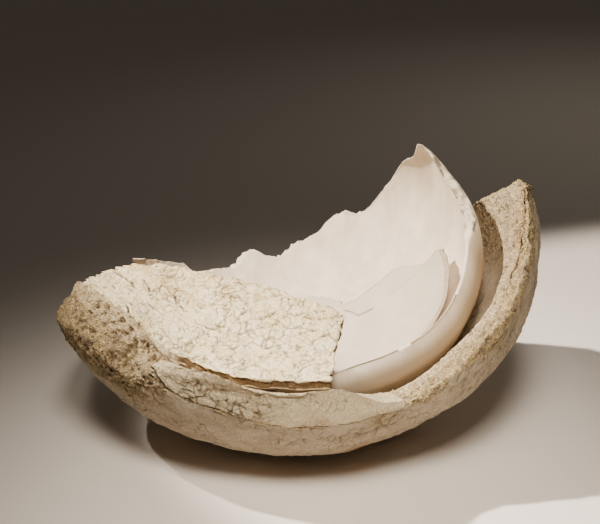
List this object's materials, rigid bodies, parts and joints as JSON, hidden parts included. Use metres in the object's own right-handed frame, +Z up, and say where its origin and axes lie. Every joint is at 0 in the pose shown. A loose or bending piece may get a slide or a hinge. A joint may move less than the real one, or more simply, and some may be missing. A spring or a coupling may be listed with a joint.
{
  "type": "plaster mold",
  "caption": "Broken-open thick plaster bowl mould with a cast white bowl, a thinner inner cast, a crackled slab of facing plaster and a cracked front lip.",
  "frame": {"origin": "centre of the small worn flat under the mould, on the surface it stands on", "axes": "+Z up, +X to the right towards the highest horn of the mould, -Y to the front where the lip is"},
  "size_m": [0.4831, 0.4234, 0.28],
  "materials": {
    "backing_plaster": "rough, porous, mud-cracked",
    "facing_plaster": "rough, porous, pitted",
    "lip_plaster": "rough, crumbly",
    "crackled_skin": "matte, crackled, stained",
    "cast_white": "smooth matte",
    "inner_white": "smooth matte"
  },
  "bodies": {
    "mould": {"backing_shell": "backing_plaster", "face_coat": "facing_plaster", "front_lip": "lip_plaster"},
    "cast": {"cast_bowl": "cast_white", "rim_shard_1": "cast_white", "rim_shard_2": "cast_white"},
    "inner": {"inner_cast": "inner_white"},
    "slab": {"draped_slab": "crackled_skin"}
  },
  "joints": [
    {"name": "cast_lift", "type": "slide", "parent": "mould", "child": "cast", "axis": [0, 0, 1], "range_m": [0, 0.26]},
    {"name": "inner_lift", "type": "slide", "parent": "cast", "child": "inner", "axis": [0, -0.1961, 0.9806], "range_m": [0, 0.22]},
    {"name": "slab_lift", "type": "slide", "parent": "inner", "child": "slab", "axis": [0, 0, 1], "range_m": [0, 0.12]}
  ]
}
